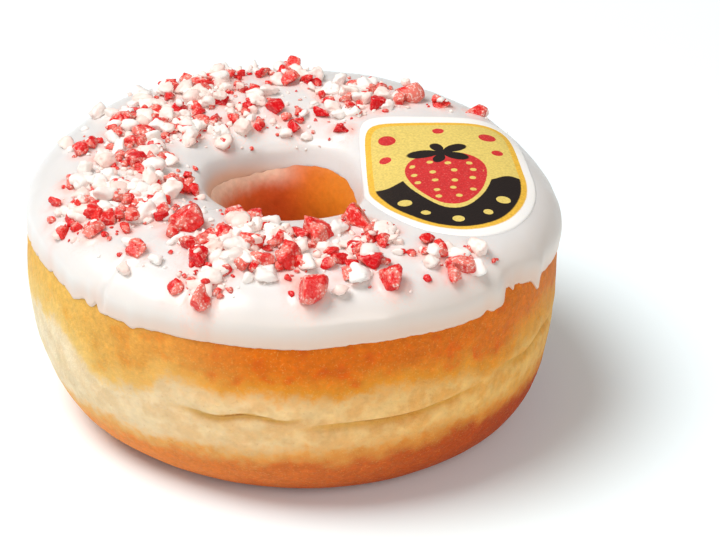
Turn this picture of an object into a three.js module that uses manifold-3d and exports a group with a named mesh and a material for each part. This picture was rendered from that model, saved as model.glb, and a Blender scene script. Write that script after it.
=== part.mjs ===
// An iced ring doughnut, lying as baked: a tall yeast dough ring, a white icing cap with strawberry and
// meringue pieces on it, and a thin printed sugar plaque laid on the icing.
// Millimetres, +Z up, origin under the middle of the ring at the height of the table.
import * as THREE from 'three';
import { ParametricGeometry } from 'three/addons/geometries/ParametricGeometry.js';
import { mergeVertices } from 'three/addons/utils/BufferGeometryUtils.js';
import Module from 'manifold-3d';

// Dough ring
const WIDEST_RADIUS = 44.8;
const WIDEST_HEIGHT = 26.5;
const DOUGH_HEIGHT = 39.2;
const CREST_RADIUS = 29;
const THROAT_RADIUS = 10.2;
const THROAT_HEIGHT = 25;
const FOOT_OUTER_RADIUS = 30.5;
const FOOT_INNER_RADIUS = 18;
const SHOULDER_POWER = 3.1;
const LIP_POWER = 2.8;
const THROAT_POWER = 2.3;
const FLANK_POWER = 2.6;
const FOOT_LEAN = 1.8;
const HOLE_SHIFT = -1.2;

// Folds that run round the flank, where the dough tore and closed again while it fried.
// from and to are angles, with -90 at the front; low and high are the fold's heights at its two ends.
const FOLDS = [
  { from: -115, to: -86, low: 18.6, high: 19.5, depth: 0.8 },
  { from: -90, to: -45, low: 17, high: 19.2, depth: 1.1 },
  { from: -44, to: -8, low: 19.8, high: 20.8, depth: 0.9 },
  { from: 4, to: 44, low: 19.2, high: 17.8, depth: 0.8 },
  { from: 62, to: 118, low: 18, high: 20.2, depth: 1 },
  { from: 137, to: 178, low: 19.6, high: 18, depth: 0.7 },
];
const FOLD_HALF_WIDTH = 1.1;
const FOLD_WANDER = 0.5;

// Icing cap, measured off the dough's surface
const ICING_GAP = 0.35;
const ICING_TOP = 1.5;
const ICING_EDGE_HEIGHT = 31.9;
const ICING_EDGE_WAVE = 0.3;
const ICING_LIP_HEIGHT = 34.1;
const ICING_LIP_WAVE = 0.6;
const ICING_ROUNDING = 2.2;
// Runs and bays of the outer edge: drop is how far the icing runs below its usual edge.
const ICING_RUNS = [
  { at: -35, width: 6, drop: -1.9 },
  { at: 24, width: 9, drop: 1.4 },
  { at: 71, width: 6, drop: -1.8 },
  { at: 112, width: 7, drop: 1.9 },
  { at: 163, width: 8, drop: -1.3 },
];

// Printed sugar plaque
const PLAQUE_HALF_WIDTH = 14.3;
const PLAQUE_HALF_LENGTH = 21.6;
const PLAQUE_X = 25.9;
const PLAQUE_Y = -1.5;
const PLAQUE_TURN = 4;
const PLAQUE_TAPER = -0.05;
const PLAQUE_TOP_POWER = 9;
const PLAQUE_FOOT_POWER = 2;
const PLAQUE_GAP = 0.4;
const PLAQUE_THICKNESS = 0.5;
const PLAQUE_CLEARANCE = 0.6;

// The largest pieces, as [angle, radius, length]: round the left, before the hole, then the back and right.
const STRAWBERRY_PIECES = [
  [-170, 37, 3.2], [-153, 39.5, 2.8], [-144, 39, 3.8], [-146, 30.5, 3.4], [-162, 18.5, 3.8],
  [-130, 38, 3.6], [-127, 27, 6], [-114, 36, 4.2], [-109, 42.5, 4.5], [-108, 39, 2.8],
  [-114, 27, 3.8], [-115, 19, 3.6], [-102, 29, 4], [-98, 33.5, 3.8], [-91, 32, 4.6],
  [-80, 23.5, 5.8], [-60, 21.5, 5.3], [-64, 28, 3.4], [-80, 33, 3.2], [-69, 35, 4.2],
  [-86, 40, 5.8], [-67, 40, 4.8], [-51, 36.5, 3.8], [-49, 40.5, 4.4], [-32, 40.5, 3.8],
  [98, 21.5, 4.5], [88, 17, 3.4], [91, 38, 3.4], [76, 21, 3.4], [60, 18, 3.3],
  [58, 27, 3.8], [55, 34, 5], [44, 36, 3.2], [37, 40.5, 3.4],
];
const MERINGUE_PIECES = [
  [-163, 24, 4.8], [-150, 22, 4.2], [-106, 35, 4.5], [-112, 31.5, 4], [-107, 23.5, 4],
  [-93, 24.5, 3.6], [-78, 29, 3.6], [-57, 27, 4], [-38, 38.5, 3.6], [-42, 39.5, 3.4],
  [115, 17.5, 4.2], [133, 17.5, 3.4], [64, 22.5, 3.2],
];
// Drifts of smaller pieces, each scattered about its own middle.
const DRIFTS = [
  { angle: 157, radius: 29, angleSpread: 36, radiusSpread: 9, count: 38 },
  { angle: -158, radius: 29, angleSpread: 34, radiusSpread: 9, count: 24 },
  { angle: 113, radius: 31, angleSpread: 24, radiusSpread: 9, count: 18 },
  { angle: 68, radius: 32, angleSpread: 28, radiusSpread: 6, count: 12 },
  { angle: -90, radius: 27, angleSpread: 42, radiusSpread: 7, count: 16 },
];
const STRAWBERRY_SHARE = 0.55;
const SMALLEST_PIECE = 2.5;
const LARGEST_DRIFT_PIECE = 4;
const PIECE_SPACING = 0.4;
const PIECE_WIDTH = 0.84;
const PIECE_HEIGHT = 0.66;
const PIECE_BEDDING = 0.65;
const PIECE_INNER_RADIUS = 16.5;
const PIECE_OUTER_RADIUS = 43;
const PIECE_SEED = 20261;

// Mesh steps
const STEPS_ROUND = 72;
const PLAQUE_STEPS_ROUND = 48;
const PLAQUE_RINGS = 5;

const radians = THREE.MathUtils.degToRad;
const { clamp, smoothstep } = THREE.MathUtils;

// The ring is not quite round: it is longer one way, fuller at the back, with a few soft waves.
function ringScale(angle) {
  return 1 - 0.012 * Math.cos(2 * angle) - 0.01 * Math.sin(3 * angle) + 0.003 * Math.cos(5 * angle + 1);
}

// A quarter of a superellipse, from [1, 0] at t = 0 to [0, 1] at t = 1.
function quarterBulge(t, power) {
  const across = Math.cos((t * Math.PI) / 2);
  const along = Math.sin((t * Math.PI) / 2);
  const reach = (across ** power + along ** power) ** (-1 / power);
  return [across * reach, along * reach];
}

// The ring's section as [radius, height] at station q: 0 widest, 1 crest, 2 throat, 3 and 4 the flat
// foot's inner and outer edge, 5 widest again. The part above the widest line can be grown outwards.
function section(q, grow = 0) {
  if (q <= 1) {
    const [out, up] = quarterBulge(q, SHOULDER_POWER);
    const width = WIDEST_RADIUS - CREST_RADIUS + grow;
    return [CREST_RADIUS + width * out, WIDEST_HEIGHT + (DOUGH_HEIGHT - WIDEST_HEIGHT + grow) * up];
  }
  if (q <= 2) {
    const [out, up] = quarterBulge(2 - q, LIP_POWER);
    const width = CREST_RADIUS - THROAT_RADIUS + grow;
    return [CREST_RADIUS - width * out, THROAT_HEIGHT + (DOUGH_HEIGHT - THROAT_HEIGHT + grow) * up];
  }
  if (q <= 3) {
    const [out, down] = quarterBulge(q - 2, THROAT_POWER);
    const width = FOOT_INNER_RADIUS - THROAT_RADIUS;
    return [FOOT_INNER_RADIUS - width * out, THROAT_HEIGHT * (1 - down)];
  }
  if (q <= 4) {
    return [FOOT_INNER_RADIUS + (FOOT_OUTER_RADIUS - FOOT_INNER_RADIUS) * (q - 3), 0];
  }
  const [out, down] = quarterBulge(5 - q, FLANK_POWER);
  return [FOOT_OUTER_RADIUS + (WIDEST_RADIUS - FOOT_OUTER_RADIUS) * out, WIDEST_HEIGHT * (1 - down)];
}

// How far the hole's side of the ring is shifted along X at a radius.
function holeShift(radius) {
  const inward = clamp((CREST_RADIUS - radius) / (CREST_RADIUS - THROAT_RADIUS), 0, 1);
  return HOLE_SHIFT * smoothstep(inward, 0, 1);
}

// A section point turned to its angle round the ring, with the ring's unevenness.
function place(radius, height, angle) {
  const lean = FOOT_LEAN * Math.max(0, 1 - height / WIDEST_HEIGHT) ** 1.5;
  const reach = radius * ringScale(angle);
  const x = reach * Math.cos(angle) + lean + holeShift(radius);
  return new THREE.Vector3(x, reach * Math.sin(angle), height);
}

// Depth of the folds in the flank at an angle and a height.
function foldDepth(angle, height) {
  const degrees = THREE.MathUtils.radToDeg(angle);
  let depth = 0;
  for (const fold of FOLDS) {
    const along = (degrees - fold.from) / (fold.to - fold.from);
    if (along <= 0 || along >= 1) continue;
    const wander = FOLD_WANDER * Math.sin(5 * Math.PI * along);
    const middle = fold.low + (fold.high - fold.low) * along + wander;
    const across = (height - middle) / FOLD_HALF_WIDTH;
    depth += fold.depth * Math.sin(Math.PI * along) ** 0.6 * Math.exp(-across * across);
  }
  return depth;
}

// count + 1 even stations from one value to another, without the last.
function stations(from, to, count) {
  return Array.from({ length: count }, (_, i) => from + ((to - from) * i) / count);
}

// The angle of a step round the ring, from -180 to 180 degrees.
function stepAngle(step, steps) {
  return ((step % steps) / steps) * 2 * Math.PI - Math.PI;
}

// One closed surface from a parametric one: seams welded, and the slivers at poles dropped.
function weld(geometry) {
  geometry.deleteAttribute('normal');
  geometry.deleteAttribute('uv');
  const welded = mergeVertices(geometry, 1e-4);
  const corners = welded.getIndex().array;
  const kept = [];
  for (let i = 0; i < corners.length; i += 3) {
    const [a, b, c] = corners.slice(i, i + 3);
    if (a !== b && b !== c && c !== a) kept.push(a, b, c);
  }
  welded.setIndex(kept);
  return welded;
}

// A ring-shaped solid: a closed row of section stations, swept round in even steps.
function sweptRing(rows, pointAt) {
  const surface = (u, v, target) => {
    const step = Math.round(u * STEPS_ROUND);
    const row = rows[Math.round(v * rows.length) % rows.length];
    target.copy(pointAt(row, stepAngle(step, STEPS_ROUND)));
  };
  return weld(new ParametricGeometry(surface, STEPS_ROUND, rows.length));
}

function doughGeometry() {
  const rows = [
    ...stations(0, 1, 5),
    ...stations(1, 2, 5),
    ...stations(2, 3, 4),
    ...stations(3, 4, 1),
    ...stations(4, 4.72, 5),
    ...stations(4.72, 4.88, 6),
    ...stations(4.88, 5, 1),
  ];
  return sweptRing(rows, (q, angle) => {
    const [radius, height] = section(q);
    const fold = q > 4 ? foldDepth(angle, height) : 0;
    return place(radius - fold, height, angle);
  });
}

// The station of a height on the dough's outer shoulder, or on the lip of its hole.
function stationAt(height, base, rise, power) {
  const up = clamp((height - base) / rise, 0, 1);
  const out = (1 - up ** power) ** (1 / power);
  return Math.atan2(up, out) / (Math.PI / 2);
}

function icingOuterStation(angle) {
  const degrees = THREE.MathUtils.radToDeg(angle);
  let height = ICING_EDGE_HEIGHT + ICING_EDGE_WAVE * Math.sin(4 * angle + 0.6);
  height += 0.6 * ICING_EDGE_WAVE * Math.sin(9 * angle);
  for (const run of ICING_RUNS) {
    height -= run.drop * Math.exp(-(((degrees - run.at) / run.width) ** 2));
  }
  return stationAt(height, WIDEST_HEIGHT, DOUGH_HEIGHT - WIDEST_HEIGHT, SHOULDER_POWER);
}

function icingInnerStation(angle) {
  const height = ICING_LIP_HEIGHT + ICING_LIP_WAVE * Math.cos(3 * (angle - 1));
  return 2 - stationAt(height, THROAT_HEIGHT, DOUGH_HEIGHT - THROAT_HEIGHT, LIP_POWER);
}

// The icing's rows run up its top from the outer edge (-1) over the ring to the hole's edge (0), and back
// along its underside (1). It is full in the middle and rounds down to both edges.
function icingGeometry() {
  const rows = [...stations(-1, 0, 14), ...stations(0, 1, 11)];
  const stationLength = (WIDEST_RADIUS - THROAT_RADIUS) / 2;
  return sweptRing(rows, (row, angle) => {
    const outer = icingOuterStation(angle);
    const inner = icingInnerStation(angle);
    const across = 1 - Math.abs(row);
    const q = outer + (inner - outer) * across;
    const toEdge = Math.min(q - outer, inner - q) * stationLength;
    const fullness = Math.sqrt(1 - (1 - clamp(toEdge / ICING_ROUNDING, 0, 1)) ** 2);
    const middle = (ICING_GAP + ICING_TOP) / 2;
    const side = row < 0 ? ICING_TOP : ICING_GAP;
    const [radius, height] = section(q, middle + (side - middle) * fullness);
    return place(radius, height, angle);
  });
}

// Height of the grown top surface over a point seen from above.
function topHeight(x, y, grow) {
  const angle = Math.atan2(y, x);
  let radius = Math.hypot(x, y);
  for (let pass = 0; pass < 3; pass += 1) {
    radius = Math.hypot(x - holeShift(radius), y) / ringScale(angle);
  }
  const outside = radius > CREST_RADIUS;
  const width = (outside ? WIDEST_RADIUS - CREST_RADIUS : CREST_RADIUS - THROAT_RADIUS) + grow;
  const base = outside ? WIDEST_HEIGHT : THROAT_HEIGHT;
  const power = outside ? SHOULDER_POWER : LIP_POWER;
  const out = clamp(Math.abs(radius - CREST_RADIUS) / width, 0, 0.999);
  return base + (DOUGH_HEIGHT - base + grow) * (1 - out ** power) ** (1 / power);
}

// The plaque is a tag with a broad top and a round foot: its sides' bow, and its half width at a height up it.
function plaquePower(along) {
  return along > 0 ? PLAQUE_TOP_POWER : PLAQUE_FOOT_POWER;
}

function plaqueHalfWidth(along) {
  return PLAQUE_HALF_WIDTH * (1 + (PLAQUE_TAPER * along) / PLAQUE_HALF_LENGTH);
}

// A point of the plaque: share is 0 at its middle and 1 at its rim, angle goes round it.
function plaquePoint(share, angle, grow) {
  const power = plaquePower(Math.sin(angle));
  const spread = Math.abs(Math.cos(angle)) ** power + Math.abs(Math.sin(angle)) ** power;
  const reach = share * spread ** (-1 / power);
  const along = PLAQUE_HALF_LENGTH * Math.sin(angle) * reach;
  const flat = new THREE.Vector2(plaqueHalfWidth(along) * Math.cos(angle) * reach, along);
  flat.rotateAround(new THREE.Vector2(0, 0), radians(PLAQUE_TURN));
  flat.add(new THREE.Vector2(PLAQUE_X, PLAQUE_Y));
  return new THREE.Vector3(flat.x, flat.y, topHeight(flat.x, flat.y, grow));
}

// How far outside the plaque's outline a point is: 1 on the outline grown by margin.
function plaqueDistance(x, y, margin) {
  const flat = new THREE.Vector2(x - PLAQUE_X, y - PLAQUE_Y);
  flat.rotateAround(new THREE.Vector2(0, 0), -radians(PLAQUE_TURN));
  const power = plaquePower(flat.y);
  const across = Math.abs(flat.x) / (plaqueHalfWidth(flat.y) + margin);
  const along = Math.abs(flat.y) / (PLAQUE_HALF_LENGTH + margin);
  return (across ** power + along ** power) ** (1 / power);
}

// The plaque's rows go from the middle of its underside to the rim, and back over its top.
function plaqueGeometry() {
  const rows = 2 * PLAQUE_RINGS + 1;
  const surface = (u, v, target) => {
    const angle = stepAngle(Math.round(u * PLAQUE_STEPS_ROUND), PLAQUE_STEPS_ROUND);
    const row = Math.round(v * rows);
    const onTop = row > PLAQUE_RINGS;
    const share = (onTop ? rows - row : row) / PLAQUE_RINGS;
    const underside = ICING_TOP + PLAQUE_GAP;
    target.copy(plaquePoint(share, angle, onTop ? underside + PLAQUE_THICKNESS : underside));
  };
  return weld(new ParametricGeometry(surface, PLAQUE_STEPS_ROUND, rows));
}

// Repeatable draws between 0 and 1.
function seededDraws(seed) {
  let state = seed >>> 0;
  return () => {
    state = (Math.imul(state, 1664525) + 1013904223) >>> 0;
    return state / 4294967296;
  };
}

// Where each piece lies: the largest first, then the drifts, with no piece on the plaque or on another.
function placedPieces() {
  const draw = seededDraws(PIECE_SEED);
  const pieces = [];
  const offer = (kind, degrees, radius, length, mustKeep) => {
    const spot = place(radius, DOUGH_HEIGHT, radians(degrees));
    const clearOfPlaque = plaqueDistance(spot.x, spot.y, length / 2 + PLAQUE_CLEARANCE) > 1;
    const clearOfPieces = pieces.every((other) => {
      const apart = Math.hypot(spot.x - other.x, spot.y - other.y);
      return apart > PIECE_SPACING * (length + other.length);
    });
    if (clearOfPlaque && (mustKeep || clearOfPieces)) pieces.push({ kind, x: spot.x, y: spot.y, length });
  };
  for (const [degrees, radius, length] of STRAWBERRY_PIECES) offer('strawberry', degrees, radius, length, true);
  for (const [degrees, radius, length] of MERINGUE_PIECES) offer('meringue', degrees, radius, length, true);
  for (const drift of DRIFTS) {
    for (let i = 0; i < drift.count; i += 1) {
      const degrees = drift.angle + drift.angleSpread * (draw() + draw() - 1);
      const radius = drift.radius + drift.radiusSpread * (draw() + draw() - 1);
      const length = SMALLEST_PIECE + (LARGEST_DRIFT_PIECE - SMALLEST_PIECE) * draw() ** 2;
      const kind = draw() < STRAWBERRY_SHARE ? 'strawberry' : 'meringue';
      offer(kind, degrees, clamp(radius, PIECE_INNER_RADIUS, PIECE_OUTER_RADIUS), length, false);
    }
  }
  return pieces;
}

// The direction straight out of the icing over a point seen from above.
function surfaceNormal(x, y) {
  const step = 0.3;
  const slopeX = (topHeight(x + step, y, ICING_TOP) - topHeight(x - step, y, ICING_TOP)) / (2 * step);
  const slopeY = (topHeight(x, y + step, ICING_TOP) - topHeight(x, y - step, ICING_TOP)) / (2 * step);
  return new THREE.Vector3(-slopeX, -slopeY, 1).normalize();
}

// One broken, angular piece, turned at random and bedded a little way into the icing.
function pieceGeometry(piece, draw) {
  const geometry = weld(new THREE.IcosahedronGeometry(0.5, 0));
  const turn = new THREE.Euler(draw() * Math.PI, draw() * Math.PI, 0);
  const yaw = new THREE.Matrix4().makeRotationZ(draw() * 2 * Math.PI);
  const size = new THREE.Vector3(1, PIECE_WIDTH, PIECE_HEIGHT).multiplyScalar(piece.length);
  const corners = geometry.getAttribute('position');
  const corner = new THREE.Vector3();
  let lowest = 0;
  for (let i = 0; i < corners.count; i += 1) {
    corner.fromBufferAttribute(corners, i).multiplyScalar(0.85 + 0.3 * draw());
    corner.applyEuler(turn).multiply(size).applyMatrix4(yaw);
    corners.setXYZ(i, corner.x, corner.y, corner.z);
    lowest = Math.min(lowest, corner.z);
  }
  const normal = surfaceNormal(piece.x, piece.y);
  const upright = new THREE.Quaternion().setFromUnitVectors(new THREE.Vector3(0, 0, 1), normal);
  const spot = new THREE.Vector3(piece.x, piece.y, topHeight(piece.x, piece.y, ICING_TOP));
  geometry.translate(0, 0, -lowest - PIECE_BEDDING);
  geometry.applyQuaternion(upright);
  geometry.translate(spot.x, spot.y, spot.z);
  return geometry;
}

const wasm = await Module();
wasm.setup();

function toSolid(geometry) {
  const vertProperties = new Float32Array(geometry.getAttribute('position').array);
  const triVerts = new Uint32Array(geometry.getIndex().array);
  return new wasm.Manifold(new wasm.Mesh({ numProp: 3, vertProperties, triVerts }));
}

function fromSolid(solid) {
  const mesh = solid.getMesh();
  const geometry = new THREE.BufferGeometry();
  geometry.setAttribute('position', new THREE.BufferAttribute(mesh.vertProperties, 3));
  geometry.setIndex(new THREE.BufferAttribute(mesh.triVerts, 1));
  return geometry;
}

function toppedIcingGeometry() {
  const draw = seededDraws(PIECE_SEED + 1);
  let solid = toSolid(icingGeometry());
  for (const piece of placedPieces()) {
    solid = solid.add(toSolid(pieceGeometry(piece, draw)));
  }
  return fromSolid(solid);
}

function finish(color, roughness) {
  return new THREE.MeshStandardMaterial({ color, roughness, metalness: 0 });
}

function named(name, geometry, material) {
  geometry.computeVertexNormals();
  const mesh = new THREE.Mesh(geometry, material);
  mesh.name = name;
  return mesh;
}

const group = new THREE.Group();
group.add(named('dough', doughGeometry(), finish(0xd9954a, 0.6)));
group.add(named('icing', toppedIcingGeometry(), finish(0xf4efe9, 0.35)));
group.add(named('sugar_plaque', plaqueGeometry(), finish(0xf1d24f, 0.7)));

export default group;
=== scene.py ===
"""An iced ring doughnut with strawberry and meringue pieces and a printed sugar plaque, on a table."""
import math

import bmesh
import bpy
import numpy as np
from mathutils import Matrix, Vector, noise


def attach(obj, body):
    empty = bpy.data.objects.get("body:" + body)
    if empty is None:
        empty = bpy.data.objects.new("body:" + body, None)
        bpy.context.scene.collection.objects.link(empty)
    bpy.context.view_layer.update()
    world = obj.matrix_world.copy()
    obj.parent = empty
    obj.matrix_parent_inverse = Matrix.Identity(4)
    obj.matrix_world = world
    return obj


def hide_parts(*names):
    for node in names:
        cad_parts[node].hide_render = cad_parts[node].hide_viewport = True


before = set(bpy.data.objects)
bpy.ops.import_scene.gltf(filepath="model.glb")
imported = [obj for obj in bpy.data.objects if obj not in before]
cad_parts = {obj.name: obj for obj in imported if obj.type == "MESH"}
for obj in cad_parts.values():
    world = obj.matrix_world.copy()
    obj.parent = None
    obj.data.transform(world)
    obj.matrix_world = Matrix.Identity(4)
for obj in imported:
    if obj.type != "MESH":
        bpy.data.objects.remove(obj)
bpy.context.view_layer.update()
MM = 0.001


# The dough ring
# One tall yeast ring, fried on both sides: brown above and below, pale round its waist where it floated out
# of the oil, with folds where the dough tore and closed again. Everything else lies on it.
WIDEST_RADIUS = 44.8 * MM
WIDEST_HEIGHT = 26.5 * MM
DOUGH_HEIGHT = 39.2 * MM
CREST_RADIUS = 29 * MM
THROAT_RADIUS = 10.2 * MM
THROAT_HEIGHT = 25 * MM
FOOT_OUTER_RADIUS = 30.5 * MM
FOOT_INNER_RADIUS = 18 * MM
SHOULDER_POWER = 3.1
LIP_POWER = 2.8
THROAT_POWER = 2.3
FLANK_POWER = 2.6
FOOT_LEAN = 1.8 * MM
HOLE_SHIFT = -1.2 * MM
DOUGH_COLUMNS = 440
DOUGH_ROWS = ((0, 1, 40), (1, 2, 34), (2, 3, 28), (3, 4, 8), (4, 5, 88))
# Each fold's first and last angle, -90 being the front, its heights there, its depth and its waves.
FOLDS = (
    (-115, -86, 18.6 * MM, 19.5 * MM, 0.8 * MM, 2),
    (-90, -45, 17.0 * MM, 19.2 * MM, 1.1 * MM, 1),
    (-44, -8, 19.8 * MM, 20.8 * MM, 0.9 * MM, 2),
    (4, 44, 19.2 * MM, 17.8 * MM, 0.8 * MM, 3),
    (62, 118, 18.0 * MM, 20.2 * MM, 1.0 * MM, 3),
    (137, 178, 19.6 * MM, 18.0 * MM, 0.7 * MM, 2),
)
FOLD_LIP = 0.4 * MM
FOLD_RAMP = 1.5 * MM
FOLD_WANDER = 0.45 * MM
FOLD_SWELLING = 0.3 * MM
FOLD_SWELLING_ABOVE = 1.7 * MM
FOLD_SWELLING_REACH = 1.3 * MM
UPPER_CRUST_EDGE = 23.3 * MM
# Tongues and bays of the brown upper crust, as angle, half width in degrees and rise.
UPPER_CRUST_LOBES = (
    (-130, 11, -3.6 * MM), (-153, 9, 1.6 * MM), (-112, 7, 1.3 * MM), (-43, 6, -2.2 * MM),
    (6, 17, -3.2 * MM), (48, 12, 1.2 * MM), (84, 9, -2.4 * MM), (121, 10, 1.5 * MM), (150, 8, -2.0 * MM),
)
# How brown the upper crust is, as angle and share: it fried longest at the front. It is also painted paler
# on the left, where the lamp shines on it, as painted light.
CRUST_BROWNING_AND_LIGHT = (
    (-180, 0.1), (-140, 0.15), (-118, 0.5), (-97, 1.0), (-75, 1.0), (-45, 0.95), (0, 0.85), (60, 0.9),
    (120, 0.5),
)
LOWER_CRUST_EDGE = 11.0 * MM
LOWER_CRUST_WAVE = 2.7 * MM
THROAT_UPPER_EDGE = 20 * MM
THROAT_LOWER_EDGE = 14 * MM
HOLE_STATIONS = (1.1, 2.9)
# Angles in radians: where the bottom crust and the pale waist are deepest in colour, partly browner crust
# and partly painted shade away from the lamp, and where the wall of the hole faces the light.
DEEPEST_BASE_ANGLE = -0.3
LIT_WALL_ANGLE = 0.35


def ring_scale(angle):
    """The ring is not quite round: it is longer one way, fuller at the back, with a few soft waves."""
    return 1 - 0.012 * np.cos(2 * angle) - 0.01 * np.sin(3 * angle) + 0.003 * np.cos(5 * angle + 1)


def quarter_bulge(t, power):
    """A quarter of a superellipse, from (1, 0) at t = 0 to (0, 1) at t = 1."""
    across = np.cos(t * np.pi / 2)
    along = np.sin(t * np.pi / 2)
    reach = (across**power + along**power) ** (-1 / power)
    return across * reach, along * reach


def section(q, grow):
    """Radius and height at station q: 0 and 5 widest, 1 crest, 2 throat, 3 and 4 the flat foot's edges."""
    q, grow = np.broadcast_arrays(np.asarray(q, float), np.asarray(grow, float))
    radius = FOOT_INNER_RADIUS + (FOOT_OUTER_RADIUS - FOOT_INNER_RADIUS) * (q - 3)
    height = np.zeros(q.shape)
    out, up = quarter_bulge(np.clip(q, 0, 1), SHOULDER_POWER)
    shoulder = q <= 1
    radius = np.where(shoulder, CREST_RADIUS + (WIDEST_RADIUS - CREST_RADIUS + grow) * out, radius)
    height = np.where(shoulder, WIDEST_HEIGHT + (DOUGH_HEIGHT - WIDEST_HEIGHT + grow) * up, height)
    out, up = quarter_bulge(np.clip(2 - q, 0, 1), LIP_POWER)
    lip = (q > 1) & (q <= 2)
    radius = np.where(lip, CREST_RADIUS - (CREST_RADIUS - THROAT_RADIUS + grow) * out, radius)
    height = np.where(lip, THROAT_HEIGHT + (DOUGH_HEIGHT - THROAT_HEIGHT + grow) * up, height)
    out, down = quarter_bulge(np.clip(q - 2, 0, 1), THROAT_POWER)
    throat = (q > 2) & (q <= 3)
    radius = np.where(throat, FOOT_INNER_RADIUS - (FOOT_INNER_RADIUS - THROAT_RADIUS + grow) * out, radius)
    height = np.where(throat, THROAT_HEIGHT * (1 - down), height)
    out, down = quarter_bulge(np.clip(5 - q, 0, 1), FLANK_POWER)
    flank = q > 4
    radius = np.where(flank, FOOT_OUTER_RADIUS + (WIDEST_RADIUS - FOOT_OUTER_RADIUS + grow) * out, radius)
    height = np.where(flank, WIDEST_HEIGHT * (1 - down), height)
    return radius, height


def hole_shift(radius):
    """How far the hole's side of the ring is shifted along X at a radius."""
    inward = np.clip((CREST_RADIUS - radius) / (CREST_RADIUS - THROAT_RADIUS), 0, 1)
    return HOLE_SHIFT * inward * inward * (3 - 2 * inward)


def place(radius, height, angle):
    """Section points turned to their angle round the ring, with the ring's unevenness."""
    lean = FOOT_LEAN * np.maximum(0, 1 - height / WIDEST_HEIGHT) ** 1.5
    reach = radius * ring_scale(angle)
    x = reach * np.cos(angle) + lean + hole_shift(radius)
    y = reach * np.sin(angle)
    return np.stack(np.broadcast_arrays(x, y, height), -1)


def lumps(points, size, seed):
    """Soft unevenness between -1 and 1 over points, with lumps of about one size."""
    shift = Vector((seed, 0.37 * seed, -0.61 * seed))
    flat = [noise.noise(Vector(point) / size + shift) for point in points.reshape(-1, 3)]
    return np.array(flat).reshape(points.shape[:-1])


def swell(points):
    """The broad unevenness of the ring, which the icing follows."""
    return 0.32 * MM * lumps(points, 15 * MM, 3) + 0.16 * MM * lumps(points, 6 * MM, 8)


def fold_marks(angle, height):
    """How deep the folds are at each point, and how strongly each point is part of one."""
    degrees = np.degrees(angle)
    depth = np.zeros(np.broadcast(angle, height).shape)
    mark = np.zeros(depth.shape)
    for first, last, first_height, last_height, deepest, waves in FOLDS:
        along = np.clip((degrees - first) / (last - first), 0, 1)
        middle = first_height + (last_height - first_height) * along
        middle = middle + FOLD_WANDER * np.sin(2 * np.pi * waves * along + 0.7)
        taper = np.sin(np.pi * along) ** 0.6
        ramp = FOLD_RAMP * (0.45 + 0.55 * np.cos(np.pi * along / 1.6) ** 2)
        above = height - middle
        across = np.where(above > 0, above / FOLD_LIP, above / ramp)
        pinch = taper * np.exp(-across * across)
        swelling = taper * np.exp(-(((above - FOLD_SWELLING_ABOVE) / FOLD_SWELLING_REACH) ** 2))
        depth = depth + deepest * pinch - FOLD_SWELLING * swelling
        mark = np.maximum(mark, pinch)
    return depth, mark


def angles_round(count):
    """Even angles round the ring, from the back left round by the front."""
    return np.linspace(-np.pi, np.pi, count, endpoint=False)


def row_stations(spans):
    """Stations down the section, closer together where the ring needs more shape."""
    return np.concatenate([np.linspace(start, end, count, endpoint=False) for start, end, count in spans])


def ring_mesh(name, points):
    """A closed ring from a grid of points: rows go round the section, columns round the ring."""
    rows, columns = points.shape[:2]
    index = np.arange(rows * columns).reshape(rows, columns)
    onward = np.roll(index, -1, axis=1)
    faces = np.stack([index, onward, np.roll(onward, -1, axis=0), np.roll(index, -1, axis=0)], -1)
    return food_object(name, points.reshape(-1, 3), faces.reshape(-1, 4).tolist())


def food_object(name, points, faces):
    """An object in the scene with a smooth mesh of these points and faces."""
    mesh = bpy.data.meshes.new(name)
    mesh.from_pydata(points.tolist(), [], faces)
    mesh.polygons.foreach_set("use_smooth", np.ones(len(faces), bool))
    mesh.update()
    made = bpy.data.objects.new(name, mesh)
    bpy.context.collection.objects.link(made)
    return made


def store(made, name, values):
    """Keeps one value for each point of a piece, for its material to read."""
    layer = made.data.attributes.new(name, "FLOAT", "POINT")
    layer.data.foreach_set("value", np.ascontiguousarray(values, dtype=np.float32).ravel())


def upper_crust_edge(angle):
    """Height where the brown upper crust fades into the pale waist."""
    degrees = np.degrees(angle)
    edge = np.full(degrees.shape, UPPER_CRUST_EDGE)
    for at, width, rise in UPPER_CRUST_LOBES:
        edge = edge + rise * np.exp(-(((degrees - at) / width) ** 4))
    return edge


def lower_crust_edge(angle):
    """Height where the pale waist fades into the brown bottom crust."""
    return LOWER_CRUST_EDGE + LOWER_CRUST_WAVE * np.cos(angle + 0.6)


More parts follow.
